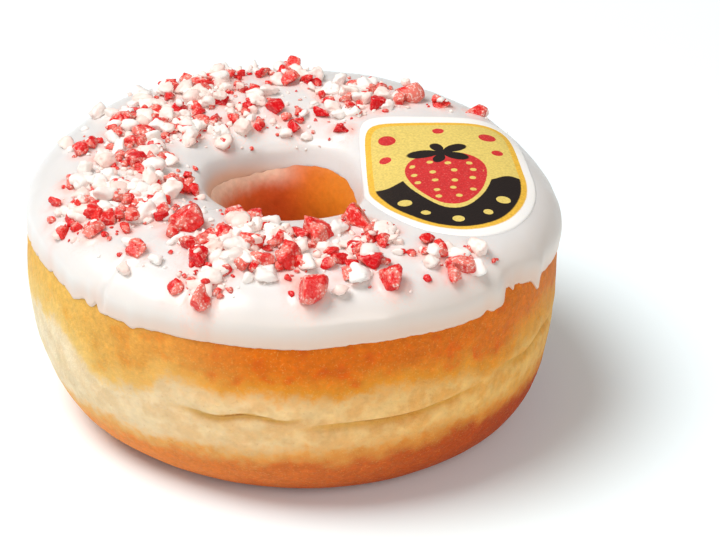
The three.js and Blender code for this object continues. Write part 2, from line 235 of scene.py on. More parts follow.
dough_q = row_stations(DOUGH_ROWS)[:, None]
dough_angle = angles_round(DOUGH_COLUMNS)[None, :]
plain_radius, plain_height = section(dough_q, 0)
plain_ring = place(plain_radius, plain_height, dough_angle)
outside = (dough_q <= 1) | (dough_q > 4)
fold_depth, fold_mark = fold_marks(dough_angle, plain_height)
blisters = 0.07 * MM * lumps(plain_ring, 2.4 * MM, 21) + 0.04 * MM * lumps(plain_ring, 1.1 * MM, 34)
dough_grow = swell(plain_ring) + blisters - np.where(outside, fold_depth, 0)
dough = ring_mesh("dough_ring", place(*section(dough_q, dough_grow), dough_angle))
upper_edge = np.where(outside, upper_crust_edge(dough_angle), THROAT_UPPER_EDGE)
lower_edge = np.where(outside, lower_crust_edge(dough_angle), THROAT_LOWER_EDGE)
browning_and_light_at, browning_and_light_share = zip(*CRUST_BROWNING_AND_LIGHT)
dough_marks = {
    "crust_rise": (plain_height - upper_edge) / MM,
    "base_rise": (lower_edge - plain_height) / MM,
    "fold": np.where(outside, fold_mark, 0),
    "inside": (dough_q > HOLE_STATIONS[0]) & (dough_q < HOLE_STATIONS[1]),
    "browning_and_light": np.interp(np.degrees(dough_angle), browning_and_light_at, browning_and_light_share, period=360),
    "base_browning_and_shade": 0.5 + 0.5 * np.cos(dough_angle - DEEPEST_BASE_ANGLE),
    "depth_in_hole": (DOUGH_HEIGHT - plain_height) / MM,
    "away_from_light": 0.5 - 0.5 * np.cos(dough_angle - LIT_WALL_ANGLE),
}
for mark, values in dough_marks.items():
    store(dough, mark, np.broadcast_to(values, upper_edge.shape))


def srgb(red, green, blue):
    """A colour as a picture shows it, from 0 to 255, as a shader colour."""
    shares = [value / 255 for value in (red, green, blue)]
    return tuple(s / 12.92 if s <= 0.04045 else ((s + 0.055) / 1.055) ** 2.4 for s in shares) + (1.0,)


def shader(tree, kind, inputs=None, **settings):
    """A shader node with its settings, each input either linked to another node or set to a value."""
    made = tree.nodes.new(kind)
    for name, value in settings.items():
        setattr(made, name, value)
    for name, value in (inputs or {}).items():
        value = getattr(value, "socket", value)
        if isinstance(value, bpy.types.NodeSocket):
            tree.links.new(value, made.inputs[name])
        else:
            made.inputs[name].default_value = value
    return made


def tree_of(*values):
    """The node tree that the first socket or amount among these values belongs to."""
    sockets = [getattr(value, "socket", value) for value in values]
    return next(socket.id_data for socket in sockets if isinstance(socket, bpy.types.NodeSocket))


def calc(operation, first, second=0.0):
    """One step of arithmetic."""
    inputs = {0: first, 1: second}
    step = shader(tree_of(first, second), "ShaderNodeMath", inputs, operation=operation)
    return Amount(step.outputs[0])


class Amount:
    """A number that varies over a surface. Arithmetic on it adds the shader nodes that work it out."""

    def __init__(self, socket):
        self.socket = socket

    def __add__(self, other):
        return calc("ADD", self, other)

    def __sub__(self, other):
        return calc("SUBTRACT", self, other)

    def __rsub__(self, other):
        return calc("SUBTRACT", other, self)

    def __mul__(self, other):
        return calc("MULTIPLY", self, other)

    def __truediv__(self, other):
        return calc("DIVIDE", self, other)

    def __pow__(self, power):
        return calc("POWER", self, power)

    def __abs__(self):
        return calc("ABSOLUTE", self)


def fade(value, low, high):
    """A soft step from 0 at low to 1 at high."""
    inputs = {"Value": value, "From Min": low, "From Max": high}
    step = shader(tree_of(value), "ShaderNodeMapRange", inputs, interpolation_type="SMOOTHSTEP")
    return Amount(step.outputs[0])


def blend(share, first, second, way="MIX"):
    """Two colours mixed."""
    inputs = {0: share, 6: first, 7: second}
    tree = tree_of(share, first, second)
    return shader(tree, "ShaderNodeMix", inputs, data_type="RGBA", blend_type=way).outputs[2]


def stored(tree, name):
    """A value that a piece keeps for each of its points."""
    return Amount(shader(tree, "ShaderNodeAttribute", attribute_name=name).outputs["Fac"])


def cloudiness(tree, scale, detail, **more):
    """Cloudy noise from 0 to 1, fixed to the piece."""
    place_on = shader(tree, "ShaderNodeTexCoord").outputs["Object"]
    inputs = {"Vector": place_on, "Scale": scale, "Detail": detail, **more}
    return Amount(shader(tree, "ShaderNodeTexNoise", inputs).outputs["Fac"])


def noise_of(tree, size, detail=2.0):
    """Cloudy noise with patches of about one size."""
    return cloudiness(tree, 1 / size, detail)


def food_group(name, inputs, outputs):
    """An empty node group with named sockets, for an effect that several foods share."""
    group = bpy.data.node_groups.new(name, "ShaderNodeTree")
    for label, kind, value in inputs:
        socket = group.interface.new_socket(label, in_out="INPUT", socket_type=kind)
        socket.default_value = value
    for label, kind in outputs:
        group.interface.new_socket(label, in_out="OUTPUT", socket_type=kind)
    return group, group.nodes.new("NodeGroupInput").outputs


def mottle_group():
    """Darkens and lightens a colour in soft patches, as food is never one even tone."""
    inputs = (
        ("Colour", "NodeSocketColor", (0.8, 0.8, 0.8, 1)),
        ("Patches per metre", "NodeSocketFloat", 200.0),
        ("Strength", "NodeSocketFloat", 0.2),
    )
    group, given = food_group("mottled_tone", inputs, (("Colour", "NodeSocketColor"),))
    swing = (cloudiness(group, given["Patches per metre"], 3.0) - 0.5) * given["Strength"]
    tone = swing * 2.0 + 1.0
    grey = shader(group, "ShaderNodeCombineColor", {0: tone, 1: tone, 2: tone}).outputs[0]
    shader(group, "NodeGroupOutput", {"Colour": blend(1.0, given["Colour"], grey, "MULTIPLY")})
    return group


def speck_group():
    """Fine specks scattered over a surface: a mask for their colour and a height for their relief."""
    inputs = (
        ("Specks per metre", "NodeSocketFloat", 2000.0),
        ("Coverage", "NodeSocketFloat", 0.3),
    )
    outputs = (("Specks", "NodeSocketFloat"), ("Height", "NodeSocketFloat"))
    group, given = food_group("fine_specks", inputs, outputs)
    cloud = cloudiness(group, given["Specks per metre"], 2.0, Roughness=0.6)
    edge = 0.74 - Amount(given["Coverage"]) * 0.4
    shader(group, "NodeGroupOutput", {"Specks": fade(cloud - edge, 0.0, 0.06), "Height": cloud})
    return group


mottled_tone = mottle_group()
fine_specks = speck_group()


def mottled(tree, colour, patch, strength):
    """A colour with soft patches of one size."""
    inputs = {"Colour": colour, "Patches per metre": 1 / patch, "Strength": strength}
    return shader(tree, "ShaderNodeGroup", inputs, node_tree=mottled_tone).outputs["Colour"]


def specks(tree, size, coverage):
    """The mask and the height of specks of one size."""
    inputs = {"Specks per metre": 1 / size, "Coverage": coverage}
    made = shader(tree, "ShaderNodeGroup", inputs, node_tree=fine_specks)
    return Amount(made.outputs["Specks"]), Amount(made.outputs["Height"])


def relief(height, depth, under=None):
    """Fine relief of a depth, on top of any coarser one."""
    inputs = {"Height": height, "Distance": depth}
    if under is not None:
        inputs["Normal"] = under
    return shader(tree_of(height), "ShaderNodeBump", inputs).outputs["Normal"]


def new_material(name):
    """A material with nothing but its Principled shader, with its tree and that shader's inputs."""
    material = bpy.data.materials.new(name)
    material.use_nodes = True
    principled = next(n for n in material.node_tree.nodes if n.type == "BSDF_PRINCIPLED")
    return material, material.node_tree, principled.inputs


def feed(finish, colour, roughness, normal):
    """Links what varies over the surface to the material's shader."""
    tree = tree_of(colour)
    tree.links.new(colour, finish["Base Color"])
    tree.links.new(roughness.socket, finish["Roughness"])
    tree.links.new(normal, finish["Normal"])


def scatter_light(finish, weight, depths):
    """Light that enters the food and comes out a little way off, red deepest."""
    finish["Subsurface Weight"].default_value = weight
    finish["Subsurface Radius"].default_value = [depth / MM for depth in depths]
    finish["Subsurface Scale"].default_value = MM


def dough_material():
    material, tree, finish = new_material("fried_dough")
    broad = noise_of(tree, 9 * MM, 3.0)
    middling = noise_of(tree, 3.2 * MM, 3.0)
    fine = noise_of(tree, 1.1 * MM, 2.0)
    ragged = (broad - 0.5) * 4.0 + (middling - 0.5) * 5.0 + (fine - 0.5) * 2.5
    upper = stored(tree, "crust_rise") + ragged
    lower = stored(tree, "base_rise") + ragged
    # Partly painted light: the upper crust is paler on the left side, which faces the lamp.
    browning_and_light = stored(tree, "browning_and_light")
    # Partly painted shade: the pale waist and the bottom crust turn deeper and more orange towards the
    # front right, away from the lamp.
    base_browning_and_shade = stored(tree, "base_browning_and_shade")
    pale = blend(base_browning_and_shade, srgb(233, 213, 174), srgb(232, 162, 66))
    palest = blend(base_browning_and_shade, srgb(239, 224, 194), srgb(242, 188, 100))
    waist = blend(fade(middling, 0.36, 0.62), pale, palest)
    gold = blend(browning_and_light, srgb(239, 202, 118), srgb(230, 146, 36))
    brown = blend(browning_and_light, srgb(230, 186, 90), srgb(221, 109, 0))
    colour = blend(fade(upper, -1.8, 1.2), waist, gold)
    colour = blend(fade(upper, 0.4, 5.4), colour, brown)
    deep_patches = fade(middling, 0.5, 0.72) * fade(upper, 1.0, 4.0)
    deep_brown = blend(browning_and_light, srgb(226, 166, 62), srgb(216, 84, 0))
    colour = blend(deep_patches * 0.75, colour, deep_brown)
    base_gold = blend(base_browning_and_shade, srgb(238, 186, 108), srgb(220, 134, 40))
    base_brown = blend(base_browning_and_shade, srgb(246, 152, 62), srgb(180, 60, 0))
    foot_brown = srgb(184, 72, 10)
    colour = blend(fade(lower, -1.8, 1.2), colour, base_gold)
    colour = blend(fade(lower, 0.2, 4.0), colour, base_brown)
    colour = blend(fade(lower, 6.0, 13.0), colour, foot_brown)
    fold = stored(tree, "fold")
    # Along a fold the colour turns gold; its deepest line is darkened further, as painted shade in the
    # crease.
    fold_gold = srgb(218, 158, 62)
    fold_shade = srgb(166, 96, 24)
    colour = blend(fade(fold, 0.15, 0.75) * 0.75, colour, fold_gold)
    colour = blend(fade(fold, 0.78, 1.0) * 0.8, colour, fold_shade)
    crusted = calc("MAXIMUM", fade(upper, 0.0, 3.0), fade(lower, 0.0, 3.0))
    colour = mottled(tree, mottled(tree, colour, 3.6 * MM, 0.14), 1.1 * MM, base_browning_and_shade * 0.14 + 0.05)
    colour = blend(crusted, colour, mottled(tree, colour, 0.8 * MM, 0.24))
    grains, grain_height = specks(tree, 0.34 * MM, 0.34)
    grain_gold = srgb(248, 204, 112)
    colour = blend(grains * 0.2, colour, grain_gold)
    pores, _ = specks(tree, 0.6 * MM, 0.2)
    pore_brown = srgb(180, 92, 20)
    colour = blend(pores * 0.18, colour, pore_brown)
    away = stored(tree, "away_from_light")
    # Painted light and shade: the wall of the hole changes colour with how it faces the lamp, deeper and
    # redder part way round and lighter on the far side, which the lamp does not reach.
    wall = blend(fade(away, 0.0, 0.4), srgb(216, 124, 34), srgb(206, 88, 36))
    wall = blend(fade(away, 0.35, 0.8), wall, srgb(226, 112, 58))
    icing_smear = fade(ragged * 0.35 + stored(tree, "depth_in_hole"), 9.4, 5.6) * fade(away, 0.16, 0.5)
    wall = blend(icing_smear * 0.95, wall, srgb(242, 206, 180))
    wall = mottled(tree, mottled(tree, wall, 3 * MM, 0.14), 0.9 * MM, 0.14)
    in_hole = fade(stored(tree, "inside"), 0.0, 1.0)
    colour = blend(in_hole, colour, wall)
    roughness = fine * 0.25 + 0.48 - in_hole * 0.2
    rough_share = 1.0 - in_hole * 0.8
    lumpy = relief(noise_of(tree, 1.2 * MM, 4.0) * rough_share, 0.3 * MM)
    feed(finish, colour, roughness, relief(grain_height * rough_share, 0.14 * MM, lumpy))
    scatter_light(finish, 0.15, (1.4 * MM, 0.7 * MM, 0.3 * MM))
    finish["Specular IOR Level"].default_value = 0.18
    return material


dough.data.materials.append(dough_material())
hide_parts("dough")
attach(dough, "root")


# The icing
# A white sugar icing that the top of the ring was dipped in. It is about 1.5 mm thick, follows every swell
# of the dough it sticks to, and thins out to a finely ragged edge with a few short runs.
ICING_TOP = 1.5 * MM
ICING_UNDERSIDE = -0.3 * MM
ICING_BEAD = 0.36 * MM
ICING_LIP_BEAD = 0.12 * MM
ICING_LIP_FEATHER = 0.9 * MM
ICING_EDGE_SUNK = 0.12 * MM
ICING_THIN_WIDTH = 3.2 * MM
ICING_EDGE_HEIGHT = 31.9 * MM
ICING_EDGE_WAVE = 0.3 * MM
ICING_LIP_HEIGHT = 34.1 * MM
ICING_LIP_WAVE = 0.6 * MM
ICING_LIP_RADIUS = 12.5 * MM
ICING_SIDE_STATION = 0.62
# The angle, in radians, round which the icing's side is darkest and warmest: partly the crust's colour
# showing through it, partly painted shade on the side away from the lamp.
ICING_WARMEST_ANGLE = -0.8
ICING_COLUMNS = 960
ICING_TOP_ROWS = 84
ICING_UNDER_ROWS = 10
STATION_LENGTH = 20 * MM
EDGE_STEPS = 2880
EDGE_SEARCH_STEP = 0.25 * MM
EDGE_SOFTENING = 61
# Runs and bays of the outer edge, as the angle where each is deepest, its widths in degrees before and
# after that, and how far the icing runs below its usual edge there.
ICING_RUNS = (
    (-39.5, 1.2, 7.5, -2.2 * MM),
    (-37.2, 0.5, 0.6, 0.8 * MM),
    (-27.5, 1.6, 0.9, 2.1 * MM),
    (-12, 10, 14, 1.0 * MM),
    (-46, 1.4, 0.8, -0.7 * MM),
    (-123.5, 1.3, 1.3, 0.5 * MM),
    (-133, 0.7, 0.6, -1.2 * MM),
    (-136.7, 1.0, 0.6, -0.6 * MM),
    (-140.5, 2.0, 1.6, 0.8 * MM),
    (-149, 0.9, 0.6, -0.6 * MM),
    (24, 9, 9, 1.4 * MM),
    (71, 6, 6, -1.8 * MM),
    (112, 7, 7, 1.9 * MM),
    (163, 8, 8, -1.3 * MM),
)
# A short dent above the edge at the front left, where one run of icing set beside another.
DENT_ANGLE = -131
DENT_WIDTH = 0.7
DENT_FROM_EDGE = 2.0 * MM
DENT_LENGTH = 1.3 * MM
DENT_DEPTH = 0.35 * MM
PLAQUE_HALF_WIDTH = 14.3 * MM
PLAQUE_HALF_LENGTH = 21.6 * MM
PLAQUE_X = 25.9 * MM
PLAQUE_Y = -1.5 * MM
PLAQUE_TURN = math.radians(4)
PLAQUE_TAPER = -0.05
PLAQUE_TOP_POWER = 9
PLAQUE_FOOT_POWER = 2
PLAQUE_CLEARANCE = 0.6 * MM
# The largest pieces, as angle, radius and length in millimetres: round the left, before the hole, behind.
STRAWBERRY_PLACES = (
    (-170, 37, 3.2), (-153, 39.5, 2.8), (-144, 39, 3.8), (-146, 30.5, 3.4), (-162, 18.5, 3.8),
    (-130, 38, 3.6), (-127, 27, 6), (-114, 36, 4.2), (-109, 42.5, 4.5), (-108, 39, 2.8),
    (-114, 27, 3.8), (-115, 19, 3.6), (-102, 29, 4), (-98, 33.5, 3.8), (-91, 32, 4.6),
    (-80, 23.5, 5.8), (-60, 21.5, 5.3), (-64, 28, 3.4), (-80, 33, 3.2), (-69, 35, 4.2),
    (-86, 40, 5.8), (-67, 40, 4.8), (-51, 36.5, 3.8), (-49, 40.5, 4.4), (-32, 40.5, 3.8),
    (98, 21.5, 4.5), (88, 17, 3.4), (91, 38, 3.4), (76, 21, 3.4), (60, 18, 3.3),
    (58, 27, 3.8), (55, 34, 5), (44, 36, 3.2), (37, 40.5, 3.4),
)
MERINGUE_PLACES = (
    (-163, 24, 4.8), (-150, 22, 4.2), (-106, 35, 4.5), (-112, 31.5, 4), (-107, 23.5, 4),
    (-93, 24.5, 3.6), (-78, 29, 3.6), (-57, 27, 4), (-38, 38.5, 3.6), (-42, 39.5, 3.4),
    (115, 17.5, 4.2), (133, 17.5, 3.4), (64, 22.5, 3.2),
)
# Drifts of smaller pieces: the angle and radius of each one's middle, how far it spreads in both, and how
# many pieces it has.
DRIFTS = (
    (157, 29, 36, 9, 38),
    (-158, 29, 34, 9, 24),
    (113, 31, 24, 9, 18),
    (68, 32, 28, 6, 12),
    (-90, 27, 42, 7, 16),
)
STRAWBERRY_SHARE = 0.55
SMALLEST_PIECE = 2.5
LARGEST_DRIFT_PIECE = 4
PIECE_SPACING = 0.4
PIECE_INNER_RADIUS = 16.5
PIECE_OUTER_RADIUS = 43
PIECE_SEED = 20261
CRUMB_COUNT = 2100
CRUMB_SEED = 414
CRUMB_SPREAD = 2.3 * MM
CRUMB_SMALLEST = 0.5 * MM
CRUMB_LARGEST = {"strawberry": 3.2 * MM, "meringue": 3.8 * MM}
CRUMB_EVENNESS = {"strawberry": 3.4, "meringue": 3.0}
CRUMB_STRAWBERRY_SHARE = 0.45
CRUMB_PERCHED_SHARE = 0.12
CRUMB_PERCHED_SIZE = 0.6
CRUMB_PERCHED_REACH = 0.6
CRUMB_NEAREST = 0.4
CRUMB_INNER_RADIUS = 13.5 * MM
CRUMB_OUTER_RADIUS = 42.5 * MM
CROWD_REACH = 6 * MM
PIECE_HEIGHT = 0.66
PIECE_BEDDING = 0.65 * MM
PIECE_FOOTPRINT = 0.42
STAINING_AND_GLOWING_LENGTH = 1.2 * MM
STAIN_AND_GLOW_REACH = 1.2 * MM
DUST_REACH = 1.9 * MM
PUDDLE_REACH = 0.6 * MM
PUDDLE_HEIGHT = 0.25 * MM


def seeded_draws(seed):
    """Repeatable draws between 0 and 1."""
    state = seed
    while True:
        state = (state * 1664525 + 1013904223) % 2**32
        yield state / 2**32


def plaque_power(along):
    """The bow of the plaque's sides: it is a tag with a broad top and a round foot."""
    return np.where(along > 0, PLAQUE_TOP_POWER, PLAQUE_FOOT_POWER)


def plaque_half_width(along):
    """Half the plaque's width at a height up it."""
    return PLAQUE_HALF_WIDTH * (1 + PLAQUE_TAPER * along / PLAQUE_HALF_LENGTH)


def plaque_distance(x, y, margin):
    """1 on the plaque's outline grown by a margin, less inside it, more outside."""
    from_x, from_y = x - PLAQUE_X, y - PLAQUE_Y
    across = from_x * np.cos(PLAQUE_TURN) + from_y * np.sin(PLAQUE_TURN)
    along = from_y * np.cos(PLAQUE_TURN) - from_x * np.sin(PLAQUE_TURN)
    power = plaque_power(along)
    wide = np.abs(across) / (plaque_half_width(along) + margin)
    long = np.abs(along) / (PLAQUE_HALF_LENGTH + margin)
    return (wide**power + long**power) ** (1 / power)


def place_pieces():
    """Where each piece lies: the largest first, then the drifts, clear of the plaque and of each other."""
    draw = seeded_draws(PIECE_SEED).__next__
    pieces = []

    def offer(kind, degrees, radius, length, must_keep):
        x, y, _ = place(radius * MM, DOUGH_HEIGHT, math.radians(degrees))
        size = length * MM
        off_plaque = plaque_distance(x, y, size / 2 + PLAQUE_CLEARANCE) > 1
        gaps = [math.hypot(x - p["x"], y - p["y"]) - PIECE_SPACING * (size + p["length"]) for p in pieces]
        if off_plaque and (must_keep or all(gap > 0 for gap in gaps)):
            pieces.append({"kind": kind, "x": x, "y": y, "length": size, "lift": 0})

    for spot in STRAWBERRY_PLACES:
        offer("strawberry", *spot, True)
    for spot in MERINGUE_PLACES:
        offer("meringue", *spot, True)
    for angle, middle_radius, angle_spread, radius_spread, count in DRIFTS:
        for _ in range(count):
            degrees = angle + angle_spread * (draw() + draw() - 1)
            radius = middle_radius + radius_spread * (draw() + draw() - 1)
            length = SMALLEST_PIECE + (LARGEST_DRIFT_PIECE - SMALLEST_PIECE) * draw() ** 2
            kind = "strawberry" if draw() < STRAWBERRY_SHARE else "meringue"
            offer(kind, degrees, min(max(radius, PIECE_INNER_RADIUS), PIECE_OUTER_RADIUS), length, False)
    return pieces


def place_crumbs(pieces):
    """Small crumbs that fell round the larger pieces, most where these lie crowded, and a few on top."""
    draws = np.random.default_rng(CRUMB_SEED)
    at = np.array([(piece["x"], piece["y"]) for piece in pieces])
    crowd = (np.hypot(*(at[:, None] - at[None]).transpose(2, 0, 1)) < CROWD_REACH).sum(axis=1)
    crumbs = []
    for _ in range(CRUMB_COUNT):
        near = pieces[draws.choice(len(pieces), p=crowd / crowd.sum())]
        angle = draws.uniform(0, 2 * np.pi)
        kind = "strawberry" if draws.random() < CRUMB_STRAWBERRY_SHARE else "meringue"
        largeness = draws.random() ** CRUMB_EVENNESS[kind]
        size = CRUMB_SMALLEST + (CRUMB_LARGEST[kind] - CRUMB_SMALLEST) * largeness
        if draws.random() < CRUMB_PERCHED_SHARE:
            size = CRUMB_PERCHED_SIZE * size
            from_middle = draws.uniform(0, CRUMB_PERCHED_REACH)
            away = from_middle * near["length"] / 2
            lift = (0.9 * PIECE_HEIGHT * near["length"] - PIECE_BEDDING) * math.sqrt(1 - from_middle**2)
        else:
            away = CRUMB_NEAREST * near["length"] + abs(draws.normal(0, CRUMB_SPREAD))
            lift = 0
        x = near["x"] + away * np.cos(angle)
        y = near["y"] + away * np.sin(angle)
        radius = math.hypot(x, y)
        if plaque_distance(x, y, size) > 1 and CRUMB_INNER_RADIUS < radius < CRUMB_OUTER_RADIUS:
            crumbs.append({"kind": kind, "x": x, "y": y, "length": size, "lift": lift})
    return crumbs


def station_at(height, base, rise, power):
    """The station on the shoulder, or on the lip of the hole, where the plain ring has a height."""
    up = np.clip((height - base) / rise, 0, 1)
    out = (1 - up**power) ** (1 / power)
    return np.arctan2(up, out) / (np.pi / 2)


def toothed(degrees):
    """How strongly the icing's edge is toothed: most at the left, next at the right, least at the front."""
    left = np.exp(-(((degrees + 150) / 20) ** 2))
    right = np.exp(-(((degrees + 30) / 22) ** 2))
    return 0.25 + 0.75 * left + 0.45 * right


def raggedness(angle, edge_radius, seed):
    """The fine unevenness of an edge of the icing, with small teeth where it caught on the crust."""
    rim = np.stack([np.cos(angle), np.sin(angle), 0 * angle], -1) * edge_radius
    soft = 0.12 * lumps(rim, 4.5 * MM, seed) + 0.1 * lumps(rim, 1.4 * MM, seed + 1)
    large_teeth = np.maximum(0, lumps(rim, 1.3 * MM, seed + 2) - 0.1)
    teeth = large_teeth + 0.4 * np.abs(lumps(rim, 0.8 * MM, seed + 3))
    return (soft - 0.9 * teeth * toothed(np.degrees(angle))) * MM


def outer_edge(angle):
    """Station of the icing's outer edge."""
    degrees = np.degrees(angle)
    height = ICING_EDGE_HEIGHT + ICING_EDGE_WAVE * (np.sin(4 * angle + 0.6) + 0.6 * np.sin(9 * angle))
    for at, before, after, drop in ICING_RUNS:
        width = np.where(degrees < at, before, after)
        height = height - drop * np.exp(-(((degrees - at) / width) ** 2))
    height = height - raggedness(angle, WIDEST_RADIUS, 5)
    return station_at(height, WIDEST_HEIGHT, DOUGH_HEIGHT - WIDEST_HEIGHT, SHOULDER_POWER)


def inner_edge(angle):
    """Station of the icing's edge inside the hole."""
    height = ICING_LIP_HEIGHT + ICING_LIP_WAVE * np.cos(3 * (angle - 1))
    height = height - 0.5 * raggedness(angle, ICING_LIP_RADIUS, 15)
    return 2 - station_at(height, THROAT_HEIGHT, DOUGH_HEIGHT - THROAT_HEIGHT, LIP_POWER)


def softened(edges):
    """An edge without its fine teeth, which the icing's thickness does not follow."""
    window = np.hanning(EDGE_SOFTENING)
    around = np.pad(edges, EDGE_SOFTENING // 2, mode="wrap")
    return np.convolve(around, window / window.sum(), mode="valid")


edge_angles = angles_round(EDGE_STEPS)
outer_edges = outer_edge(edge_angles)
inner_edges = inner_edge(edge_angles)
soft_outer_edges = softened(outer_edges)
soft_inner_edges = softened(inner_edges)


def edge_distance(q, angle, edges, inward, edge_radius):
    """Distance over the surface from a point of the icing to the nearest point of one of its edges."""
    nearest = np.full(np.broadcast(q, angle).shape, ICING_THIN_WIDTH)
    for away in np.arange(-ICING_THIN_WIDTH, ICING_THIN_WIDTH, EDGE_SEARCH_STEP):
        there = np.interp(angle + away / edge_radius, edge_angles, edges, period=2 * np.pi)
        gap = np.maximum(0, inward * (q - there)) * STATION_LENGTH
        nearest = np.minimum(nearest, np.hypot(gap, away))
    return nearest


def to_both_edges(q, angle, outer, inner):
    """Distances from a point of the icing to its outer edge and to its edge in the hole."""
    to_outer = edge_distance(q, angle, outer, 1, WIDEST_RADIUS)
    return to_outer, edge_distance(q, angle, inner, -1, ICING_LIP_RADIUS)


def icing_grow(q, angle):
    """How far the icing's top stands off the bare ring: full in the middle, a thin bead at both edges."""
    plain = place(*section(q, 0), angle)
    to_outer, to_inner = to_both_edges(q, angle, outer_edges, inner_edges)
    to_edge = np.minimum(to_outer, to_inner)
    at_lip = to_inner < to_outer
    bead = np.where(at_lip, ICING_LIP_BEAD, ICING_BEAD)
    bead_reach = np.where(at_lip, ICING_LIP_FEATHER, ICING_BEAD)
    rounding = np.sqrt(1 - (1 - np.clip(to_edge / bead_reach, 0, 1)) ** 2)
    body = np.minimum(*to_both_edges(q, angle, soft_outer_edges, soft_inner_edges)) / ICING_THIN_WIDTH
    thickness = (bead + ICING_EDGE_SUNK) * rounding - ICING_EDGE_SUNK
    thickness = thickness + (ICING_TOP - bead) * body * body * (3 - 2 * body)
    waves = 0.1 * MM * lumps(plain, 6.5 * MM, 41) + 0.015 * MM * lumps(plain, 2.2 * MM, 42)
    beside_dent = ((np.degrees(angle) - DENT_ANGLE) / DENT_WIDTH) ** 2
    above_dent = ((to_outer - DENT_FROM_EDGE) / DENT_LENGTH) ** 2
    dent = DENT_DEPTH * np.exp(-beside_dent - above_dent)
    return thickness + swell(plain) + waves * body - dent


def on_icing(x, y, lift=0.0):
    """Points of the icing's top, or a little above it, over places seen from above."""
    radius = np.hypot(x, y)
    for _ in range(4):
        shifted = x - hole_shift(radius)
        angle = np.arctan2(y, shifted)
        radius = np.hypot(shifted, y) / ring_scale(angle)
    outside = radius > CREST_RADIUS
    power = np.where(outside, SHOULDER_POWER, LIP_POWER)
    grow = ICING_TOP + lift
    for _ in range(2):
        width = np.where(outside, WIDEST_RADIUS - CREST_RADIUS, CREST_RADIUS - THROAT_RADIUS) + grow
        out = np.clip(np.abs(radius - CREST_RADIUS) / width, 0, 0.999)
        quarter = np.arctan2((1 - out**power) ** (1 / power), out) / (np.pi / 2)
        q = np.where(outside, quarter, 2 - quarter)
        grow = lift + icing_grow(q, angle)
    return place(*section(q, grow), angle)


def nearness(points, spots, reach):
    """1 beside the nearest of the given pieces, fading to 0 away from them."""
    near = np.zeros(points.shape[:-1])
    for spot in spots:
        away = np.hypot(points[..., 0] - spot["x"], points[..., 1] - spot["y"])
        away = np.maximum(away - PIECE_FOOTPRINT * spot["length"], 0)
        near = np.maximum(near, np.exp(-((away / reach) ** 2)))
    return near


def spread_rows(count):
    """Shares from 0 to 1, closer together towards both ends."""
    even = np.linspace(0, 1, count)
    return (0.4 * even + 0.3 * (1 - np.cos(np.pi * even)))[:, None]


pieces = place_pieces()
crumbs = place_crumbs(pieces)
red_ones = [spot for spot in pieces + crumbs if spot["kind"] == "strawberry"]
staining_and_glowing = [spot for spot in red_ones if spot["length"] > STAINING_AND_GLOWING_LENGTH]
icing_angle = angles_round(ICING_COLUMNS)[None, :]
icing_outer = np.interp(icing_angle, edge_angles, outer_edges, period=2 * np.pi)
icing_inner = np.interp(icing_angle, edge_angles, inner_edges, period=2 * np.pi)
top_q = icing_outer + (icing_inner - icing_outer) * spread_rows(ICING_TOP_ROWS)
top_angle = np.broadcast_to(icing_angle, top_q.shape)
top_grow = icing_grow(top_q, top_angle)
top_points = place(*section(top_q, top_grow), top_angle)
top_grow = top_grow + PUDDLE_HEIGHT * nearness(top_points, pieces, PUDDLE_REACH)
top_points = place(*section(top_q, top_grow), top_angle)
under_q = icing_inner + (icing_outer - icing_inner) * spread_rows(ICING_UNDER_ROWS)
under_angle = np.broadcast_to(icing_angle, under_q.shape)
under_plain = place(*section(under_q, 0), under_angle)
under_points = place(*section(under_q, ICING_UNDERSIDE + swell(under_plain)), under_angle)
icing = ring_mesh("icing_cap", np.concatenate([top_points, under_points]))
to_outer, to_inner = to_both_edges(top_q, top_angle, outer_edges, inner_edges)
# Painted shade: the peach tint of the thin icing at the hole's lip is made stronger on the side that faces
# away from the lamp.
shaded_lip = np.clip(0.75 - 0.5 * np.cos(top_angle - LIT_WALL_ANGLE), 0.2, 1)
run_down = np.clip((ICING_SIDE_STATION - top_q) / (ICING_SIDE_STATION - top_q[0]), 0, 1)
icing_marks = {
    "stain_and_glow": nearness(top_points, staining_and_glowing, STAIN_AND_GLOW_REACH),
    "dust": nearness(top_points, pieces, DUST_REACH),
    "thinness": 1 - to_outer / ICING_THIN_WIDTH,
    "lip_thinness_and_shade": (1 - to_inner / ICING_THIN_WIDTH) * shaded_lip,
    "run_down": run_down * np.clip(0.3 + 0.7 * np.cos(top_angle - ICING_WARMEST_ANGLE), 0, 1),
}
for mark, values in icing_marks.items():
    store(icing, mark, np.concatenate([values, np.zeros(under_q.shape)]))


def icing_material():
    material, tree, finish = new_material("sugar_icing")
    cloud = noise_of(tree, 3 * MM)
    # Partly painted light: the pink round the red pieces is partly their stain and partly painted red
    # bounce light.
    stain_and_glow = stored(tree, "stain_and_glow") * fade(cloud, 0.25, 0.75)
    colour = blend(stain_and_glow * 0.75, srgb(226, 223, 220), srgb(244, 172, 156))
    dust, _ = specks(tree, 0.45 * MM, 0.5)
    colour = blend(stored(tree, "dust") * dust * 0.55, colour, srgb(250, 204, 190))
    # Partly painted shade: the icing's outer side is darker and warmer, most towards the front right.
    colour = blend(stored(tree, "run_down") * 0.9, colour, srgb(225, 206, 190))
    thin = fade(stored(tree, "thinness"), 0.1, 1.0)
    colour = blend(thin * 0.5, colour, srgb(234, 184, 154))
    # The lip's peach tint is partly thin icing and partly painted shade.
    lip = fade(stored(tree, "lip_thinness_and_shade"), 0.34, 0.9)
    colour = blend(lip * 0.85, colour, srgb(240, 190, 156))
    colour = mottled(tree, colour, 9 * MM, 0.03)
    roughness = cloud * 0.08 + 0.26
    feed(finish, colour, roughness, relief(noise_of(tree, 5 * MM, 1.0), 0.05 * MM))
    scatter_light(finish, 0.4, (1.6 * MM, 1.4 * MM, 1.2 * MM))
    return material


